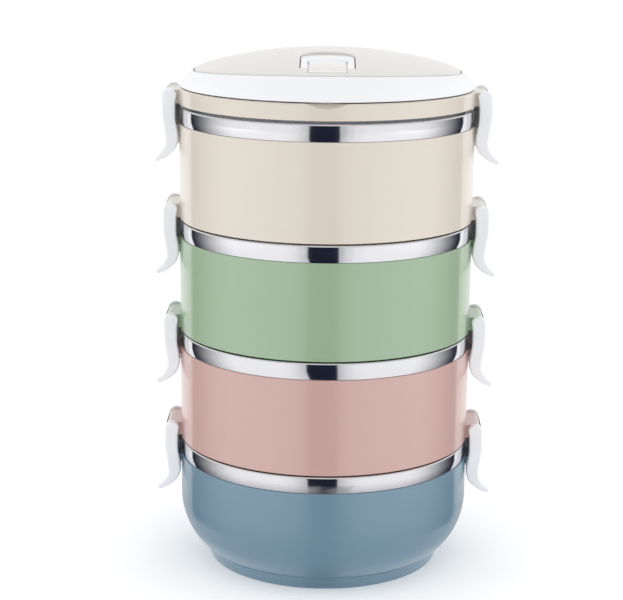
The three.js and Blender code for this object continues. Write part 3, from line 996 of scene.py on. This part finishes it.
def handle_loops():
    """Loops of the handle from its left end to its right end."""
    loops = []
    side = handle_section(0)
    highest = 22  # height, above the seam plane, over which the shoulder's curve isn't followed

    def end_loop(t, sign):
        """One loop of an end's rounding: the side section, moved back along Y and made lower as `t` grows."""
        y = HANDLE_END_R * math.sin(t)
        loop = []
        for r, z in side:
            h = HANDLE_Z + (z - HANDLE_Z) * math.cos(t)
            limit = math.sqrt(max(lid_radius(min(max(h, SHOULDER_END[1]), highest)) ** 2 - y * y, 0))
            loop.append((sign * min(r, limit), y, h))
        return loop

    turns = np.radians(np.linspace(84, 6, 14))
    loops += [end_loop(t, -1) for t in turns]
    for angle in np.radians(np.linspace(-180, 0, 181)):
        loops.append([(r * math.cos(angle), r * math.sin(angle), z) for r, z in handle_section(angle)])
    loops += [end_loop(t, 1) for t in turns[::-1]]
    return loops


def carry_handle():
    piece = lid_object("carry_handle_moulding", loft(handle_loops()))
    finish_piece(piece, "handle", PLASTIC["white"], ["carry_handle"])


def vent_housing():
    slot_back = FLAP_Y + 1.8
    front = VENT_FRONT + 0.4
    slope_long, slope_deep = 2.8, 2.0  # slope down to the flap's back edge
    sunk, sunk_more = 0.25, 1.05  # depth under the dome in front, and what the back adds

    def top(x, y):
        """Sunk under the dome, more so towards the back, with a slope down to the flap."""
        back = (y - VENT_FRONT) / (VENT_BACK - VENT_FRONT)
        behind = max(y - slot_back, 0)
        beside = max(abs(x) - SLOT_HALF, 0)
        reach = max(0, 1 - math.hypot(behind, beside * 2) / slope_long)
        if y < slot_back - slope_long:
            reach = 0
        elif y < slot_back:
            reach *= 1 - (slot_back - y) / slope_long
        return lid_height(x, y) - sunk - sunk_more * back * back - slope_deep * reach * reach

    arch = vent_plan(-0.4, front)
    opening = rounded(
        [
            arch[-2] + (0.8,),
            (-SLOT_HALF, front, 0.5),
            (-SLOT_HALF, slot_back, 0.8),
            (SLOT_HALF, slot_back, 0.8),
            (SLOT_HALF, front, 0.5),
            arch[-1] + (0.8,),
            arch[0],
            arch[-3],
        ]
    )[:-2]
    frame_part = plate(
        arch[:-2] + opening,
        top,
        lambda x, y: VENT_FLOOR + 0.4,
        0.2,
        spacing=0.8,
    )
    half = SLOT_HALF + 1
    floor = plate(
        [(-half, front), (half, front), (half, slot_back + 1), (-half, slot_back + 1)],
        flap_height(-2.1),
        lambda x, y: VENT_FLOOR + 0.4,
        0.2,
        holes=[steam_hole()],
        spacing=4,
    )
    piece = lid_object("vent_housing_moulding", frame_part)
    combine(piece, lid_object("floor_plate", floor), "UNION")
    finish_piece(piece, "lid", PLASTIC["white"], ["vent_housing"])


def vent_flap():
    """Flap in its own frame: a dished plate behind a raised finger lip."""
    upper, lower = 1.3, -1.4  # faces of the plate, from its hinge line
    back = 1.5  # end of the plate behind its hinge line
    dish_deep = 2.3
    dish_start, dish_end = 2.5, 2.9  # from the hinge line and from the front edge

    def top(x, y):
        """Rounded down at the hinge, then a finger dish, then the raised lip."""
        roll = upper * min(max((y + 1.6) / 3.1, 0), 1) ** 2
        reach = min(max((-y - dish_start) / (FLAP_FRONT - dish_start - dish_end), 0), 1)
        dish = dish_deep * math.sin(math.pi * reach**2.5) ** 1.3 * math.cos(x / FLAP_HALF * 1.15)
        return upper - roll - dish

    outline = rounded(
        [
            (-FLAP_HALF, -FLAP_FRONT, 1.2),
            (FLAP_HALF, -FLAP_FRONT, 1.2),
            (FLAP_HALF, back, 0.4),
            (-FLAP_HALF, back, 0.4),
        ],
        steps=6,
    )
    solid = moved(plate(outline, top, lambda x, y: lower, 0.2, spacing=0.8), flap_to_lid)
    piece = lid_object("vent_flap_moulding", solid)
    # The flap takes a darker white than the housing: painted shade for its dish.
    finish_piece(piece, "flap", PLASTIC["shaded_white"], ["vent_flap"])


def lid_liner():
    piece = lid_object("lid_liner_moulding", lathe(closure()))
    cutter = plate(steam_hole(), lambda x, y: 8, lambda x, y: -8, 0, spacing=50)
    combine(piece, lid_object("cutter", cutter), "DIFFERENCE")
    finish_piece(piece, "lid", PLASTIC["white"], ["lid_liner"])


def hidden_fittings():
    """Pins and the vent plug keep their CAD shapes and get their materials."""
    for name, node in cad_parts.items():
        if "_pin" in name or name == "vent_plug":
            node.data.materials.clear()
            node.data.materials.append(PIN_STEEL if "_pin" in name else RUBBER)


# ---- studio ----

def camera():
    """Long lens in front of the stack, a little above it, as far off as the picture's perspective says."""
    place = (0, -0.8686, 0.334)  # in metres
    down, roll, yaw = math.radians(13.14), math.radians(0.53), math.radians(0.449)
    data = bpy.data.cameras.new("camera")
    made = bpy.data.objects.new("camera", data)
    bpy.context.scene.collection.objects.link(made)
    data.sensor_width = 36
    data.lens = 102.5
    data.clip_end = 50
    made.location = place
    pitch = math.pi / 2 - down
    turn = Matrix.Rotation(yaw, 3, "Z") @ Matrix.Rotation(pitch, 3, "X") @ Matrix.Rotation(roll, 3, "Z")
    made.rotation_euler = turn.to_euler()
    bpy.context.scene.camera = made


def stage_material(name, color, roughness):
    made, tree, surface = new_material(name)
    place = add(tree, "TexCoord").outputs["Object"]
    cloud = noise(tree, place, 3, 2)
    tree.links.new(tint(tree, cloud, shade_of(color, 0.99), color), surface.inputs["Base Color"])
    surface.inputs["Roughness"].default_value = roughness
    surface.inputs["Specular IOR Level"].default_value = 0
    surface.inputs["Emission Color"].default_value = (1, 1, 1, 1)
    surface.inputs["Emission Strength"].default_value = 0.24
    return made


def floor():
    """A wide, pale, round floor."""
    radius, count = 9000, 120
    bearings = np.radians(np.arange(count) * 360 / count)
    points = [(0, 0, 0)] + [(radius * math.cos(a), radius * math.sin(a), 0) for a in bearings]
    faces = [[0, k, k % count + 1] for k in range(1, count + 1)]
    made = mesh_object("floor", (points, faces))
    made.data.materials.append(stage_material("pale_floor", (0.93, 0.93, 0.93, 1), 0.6))


def flag(name, rows, height=0.8):
    """A dark level sheet, `height` millimetres above the floor, that only reflections see: a painted dark
    reflection.
    Each row is a radius, its points' bearings in degrees round from the front, and how dark the sheet is at
    each point, from 0 to 1."""
    points = [
        (r * math.sin(b), -r * math.cos(b), height) for r, bearings, _ in rows for b in np.radians(bearings)
    ]
    across = len(rows[0][1])
    faces = [
        [j * across + k, j * across + k + 1, (j + 1) * across + k + 1, (j + 1) * across + k]
        for j in range(len(rows) - 1)
        for k in range(across - 1)
    ]
    made = mesh_object(name, (points, faces))
    depth = made.data.color_attributes.new("depth", "FLOAT_COLOR", "POINT")
    shares = [share for _, _, row in rows for share in row]
    for corner, value in zip(depth.data, shares):
        corner.color = (value, value, value, 1)
    # painted reflection: a dark glow blended with clear by the depth share, seen only in reflections
    material, tree, surface = new_material(name + "_painted_reflection")
    shade = add(tree, "VertexColor", {"layer_name": "depth"}).outputs["Color"]
    clear = add(tree, "BsdfTransparent").outputs["BSDF"]
    dark = add(tree, "Emission", Color=(0.016, 0.019, 0.036, 1), Strength=1).outputs["Emission"]
    mix = add(tree, "MixShader", Fac=shade)
    tree.links.new(clear, mix.inputs[1])
    tree.links.new(dark, mix.inputs[2])
    tree.links.new(mix.outputs["Shader"], tree.nodes["Material Output"].inputs["Surface"])
    made.data.materials.append(material)
    made.visible_camera = False
    made.visible_diffuse = False
    made.visible_shadow = False
    made.visible_transmission = False


def front_flag():
    """A strip in front, dark in the middle, with a soft surround: a painted dark reflection. Close to the
    object its edges blur.
    """
    around = (20, 12, 6, 0.1, 0)  # degrees out from the strip's edge where the surround's shares lie
    near = [0, 0.06, 0.2, 0.42, 0.6, 0.9, 0.6, 0.42, 0.2, 0.06, 0]
    far = [0, 0.06, 0.2, 0.42, 1, 1, 1, 0.42, 0.2, 0.06, 0]
    rows = []
    for r, left, right, shares in (
        (58.5, -9, 8.5, near),
        (160, -9, 8.5, near),
        (235, -10, 9.5, far),
        (340, -11.6, 9.6, far),
        (550, -13, 9.6, far),
        (6000, -13, 9.6, far),
    ):
        before = [left - step for step in around]
        after = [right + step for step in around[::-1]]
        rows.append((r, [*before, (left + right) / 2, *after], shares))
    flag("front_flag", rows)


def side_flags():
    """Sheets at both sides, painted dark reflections. Each fades in over `fade` degrees from the front, and
    ends sharply at a straight line that passes `offset` millimetres from the axis, square to the bearing
    `square`."""
    offset, square, fade = 62, 40, 56
    reach = np.linspace(0, 1, 40)
    shares = list(reach * reach * (3 - 2 * reach))
    for name, side in (("right_flag", 1), ("left_flag", -1)):
        rows = []
        for r in (100, 110, 120, 140, 160, 190, 230, 280, 360, 500, 700, 1000, 1500, 2500, 6000):
            end = square + math.degrees(math.acos(offset / r))
            rows.append((r, side * (end - fade * (1 - reach)), shares))
        flag(name, rows)


def near_ring():
    """A faint dark ring round the foot: painted shade, seen only in the tiers' reflections, where the object
    dims the floor.
    """
    bearings = np.linspace(0, 360, 73)
    steps = ((62, 0), (75, 0.4), (120, 0.4), (170, 0.15), (230, 0))
    flag("near_ring", [(r, bearings, [share] * len(bearings)) for r, share in steps], 0.6)


def softbox(name, bearing):
    """A large square light, in metres, that looks at the stack's middle."""
    distance, height, size, power = 1.4, 0.6, 1.2, 3
    data = bpy.data.lights.new(name, "AREA")
    data.shape = "RECTANGLE"
    data.size, data.size_y = size, size
    data.energy = power
    made = bpy.data.objects.new(name, data)
    bpy.context.scene.collection.objects.link(made)
    b = math.radians(bearing)
    made.location = (distance * math.sin(b), -distance * math.cos(b), height)
    aim = Vector((0, 0, 0.13)) - made.location
    made.rotation_euler = aim.to_track_quat("-Z", "Y").to_euler()
    made.visible_camera = False
    made.visible_glossy = False


def studio():
    """The world, which is plain white to the camera and to all else a glow that rises towards the top and the
    back, with the lights and the dark sheets of painted reflection and painted shade."""
    world = bpy.data.worlds.new("studio")
    bpy.context.scene.world = world
    world.use_nodes = True
    tree = world.node_tree
    towards = add(tree, "TexCoord").outputs["Generated"]
    rise = add(tree, "VectorMath", {"operation": "DOT_PRODUCT"})
    tree.links.new(towards, rise.inputs[0])
    rise.inputs[1].default_value = (0, 0.12, 0.1)
    glow = spread(tree, rise.outputs["Value"], -1, 1, -0.17, 1.83)
    seen = add(tree, "LightPath").outputs["Is Camera Ray"]
    level = tree.nodes.new("ShaderNodeMix")
    tree.links.new(seen, level.inputs[0])
    tree.links.new(glow, level.inputs[2])
    level.inputs[3].default_value = 1
    tree.links.new(level.outputs[0], tree.nodes["Background"].inputs["Strength"])
    tree.nodes["Background"].inputs["Color"].default_value = (1, 1, 1, 1)
    softbox("left_softbox", -75)
    softbox("right_softbox", 75)
    front_flag()
    side_flags()
    near_ring()
    bpy.context.scene.view_settings.view_transform = "Standard"


camera()
studio()
floor()
bottom_tier()
for tier_name in TIERS:
    upper_shell(tier_name)
    upper_bowl(tier_name)
    tier_closure(tier_name)
    seal(tier_name, f"{tier_name}_tier")
    latches(tier_name)
lid_rim()
lid_panel()
lid_liner()
seal("lid", "lid")
carry_handle()
vent_housing()
vent_flap()
latches("lid")
hidden_fittings()
